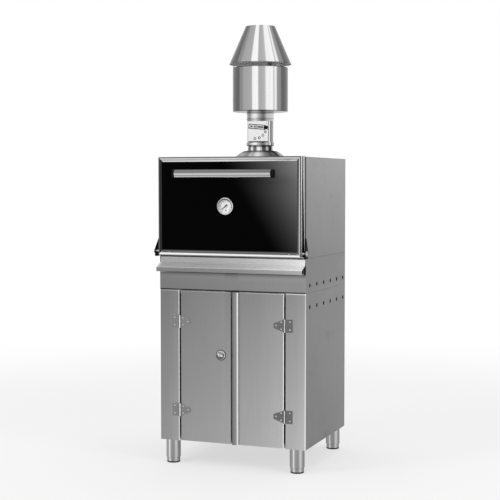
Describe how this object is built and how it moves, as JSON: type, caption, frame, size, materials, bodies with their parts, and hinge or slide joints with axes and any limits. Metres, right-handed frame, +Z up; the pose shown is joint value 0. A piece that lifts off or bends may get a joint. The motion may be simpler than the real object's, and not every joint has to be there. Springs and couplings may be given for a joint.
{
  "type": "charcoal oven",
  "caption": "Closed charcoal oven with a drop-down door, ash drawer, damper flue with a spark drum and hat, on a two-door cabinet stand with levelling feet.",
  "frame": {"origin": "on the floor, under the middle of the outer box, with all doors and the drawer closed", "axes": "+Z up, -Y towards the front with the doors, +X to the right as seen from the front"},
  "size_m": [0.811, 0.797, 2.243],
  "materials": {
    "satin_steel": "satin sheet with a fine vertical grain",
    "leg_steel": "satin turned tube",
    "drawer_steel": "satin folded sheet with a long grain",
    "inner_steel": "dull mill finish",
    "hinge_steel": "pressed and tumbled",
    "screw_steel": "bright domed heads",
    "grip_steel": "satin half-round strip",
    "lock_chrome": "polished",
    "firebox_iron": "sooted",
    "grate_iron": "sooted casting",
    "grill_steel": "heat-darkened bars",
    "wool": "pressed mineral wool",
    "rope_seal": "braided black rope",
    "bracket_black": "black painted",
    "pin_chrome": "polished",
    "polished_frame": "polished stainless",
    "black_enamel": "high-gloss black enamel",
    "handle_steel": "satin tube with a long grain",
    "handle_black": "moulded",
    "bezel_chrome": "polished",
    "dial_white": "printed matt white",
    "dial_glass": "clear",
    "needle_black": "matt black",
    "flue_steel": "bright rolled sheet with a grain round the drum",
    "damper_steel": "bright laser-cut plate",
    "knob_black": "moulded knob"
  },
  "bodies": {
    "stand": {"leg_sleeves": "leg_steel", "cabinet_right_side": "satin_steel", "cabinet_left_side": "satin_steel", "cabinet_back": "satin_steel", "cabinet_base": "satin_steel", "cabinet_top": "satin_steel", "stile_hinges": "hinge_steel", "stile_hinge_screws": "screw_steel", "base_shell": "satin_steel", "base_fascia": "satin_steel", "tray_rails": "inner_steel", "casing_wrap": "satin_steel", "casing_top": "satin_steel", "front_frame": "inner_steel", "mouth_seal": "rope_seal", "firebox_bearers": "inner_steel", "firebox": "firebox_iron", "insulation_wrap": "wool", "charcoal_grate": "grate_iron", "grill_rails": "inner_steel", "lower_grill": "grill_steel", "upper_grill": "grill_steel", "door_brackets": "bracket_black", "door_hinge_pins": "pin_chrome", "flue_spigot": "flue_steel", "flue_skirt": "flue_steel", "flue_pipe": "flue_steel", "flue_collar": "flue_steel", "damper_plate": "damper_steel", "drum_shell": "flue_steel", "drum_baffle": "flue_steel"},
    "oven_door": {"door_frame": "polished_frame", "door_panel": "black_enamel", "door_insulation": "wool", "door_liner": "inner_steel", "handle_tube": "handle_steel", "handle_mounts": "handle_black", "gauge_case": "bezel_chrome", "gauge_dial": "dial_white", "gauge_glass": "dial_glass"},
    "gauge_needle": {"gauge_needle": "needle_black"},
    "ash_drawer": {"drawer_front": "drawer_steel", "ash_tray": "inner_steel"},
    "left_door": {"left_door": "satin_steel", "left_door_hinge_leaves": "hinge_steel", "left_door_hinge_screws": "screw_steel", "lock_body": "lock_chrome"},
    "lock": {"lock_knob": "lock_chrome"},
    "right_door": {"right_door": "satin_steel", "right_door_hinge_leaves": "hinge_steel", "right_door_hinge_screws": "screw_steel", "grip_strip": "grip_steel"},
    "damper": {"damper_blade": "damper_steel", "damper_lever": "damper_steel"},
    "damper_plunger": {"damper_plunger": "knob_black"},
    "hat": {"hat_cone": "flue_steel"},
    "foot_front_left": {"foot_front_left": "leg_steel"},
    "foot_front_right": {"foot_front_right": "leg_steel"},
    "foot_back_left": {"foot_back_left": "leg_steel"},
    "foot_back_right": {"foot_back_right": "leg_steel"}
  },
  "joints": [
    {"name": "oven_door_hinge", "type": "hinge", "parent": "stand", "child": "oven_door", "pos_m": [0, -0.2945, 1.086], "axis": [1, 0, 0], "range_deg": [0, 90]},
    {"name": "gauge_needle_turn", "type": "hinge", "parent": "oven_door", "child": "gauge_needle", "pos_m": [-0.01, -0.318, 1.314], "axis": [0, 1, 0], "range_deg": [0, 270], "stiffness_Nm_per_rad": 0.002},
    {"name": "ash_drawer_slide", "type": "slide", "parent": "stand", "child": "ash_drawer", "axis": [0, -1, 0], "range_m": [0, 0.32]},
    {"name": "left_door_hinge", "type": "hinge", "parent": "stand", "child": "left_door", "pos_m": [-0.281, -0.271, 0.504], "axis": [0, 0, -1], "range_deg": [0, 165]},
    {"name": "lock_turn", "type": "hinge", "parent": "left_door", "child": "lock", "pos_m": [-0.056, -0.2665, 0.568], "axis": [0, 1, 0], "range_deg": [0, 90]},
    {"name": "right_door_hinge", "type": "hinge", "parent": "stand", "child": "right_door", "pos_m": [0.281, -0.271, 0.504], "axis": [0, 0, 1], "range_deg": [0, 165]},
    {"name": "damper_turn", "type": "hinge", "parent": "stand", "child": "damper", "pos_m": [0, 0.142, 1.72], "axis": [0, 1, 0], "range_deg": [0, 87]},
    {"name": "damper_plunger_pull", "type": "slide", "parent": "damper", "child": "damper_plunger", "axis": [0, -1, 0], "range_m": [0, 0.008], "stiffness_N_per_m": 400},
    {"name": "hat_lift", "type": "slide", "parent": "stand", "child": "hat", "axis": [0, 0, 1], "range_m": [0, 0.06]},
    {"name": "foot_front_left_turn", "type": "hinge", "parent": "stand", "child": "foot_front_left", "pos_m": [-0.335, -0.2295, 0], "axis": [0, 0, 1], "continuous": true},
    {"name": "foot_front_right_turn", "type": "hinge", "parent": "stand", "child": "foot_front_right", "pos_m": [0.335, -0.2295, 0], "axis": [0, 0, 1], "continuous": true},
    {"name": "foot_back_left_turn", "type": "hinge", "parent": "stand", "child": "foot_back_left", "pos_m": [-0.335, 0.3615, 0], "axis": [0, 0, 1], "continuous": true},
    {"name": "foot_back_right_turn", "type": "hinge", "parent": "stand", "child": "foot_back_right", "pos_m": [0.335, 0.3615, 0], "axis": [0, 0, 1], "continuous": true}
  ]
}
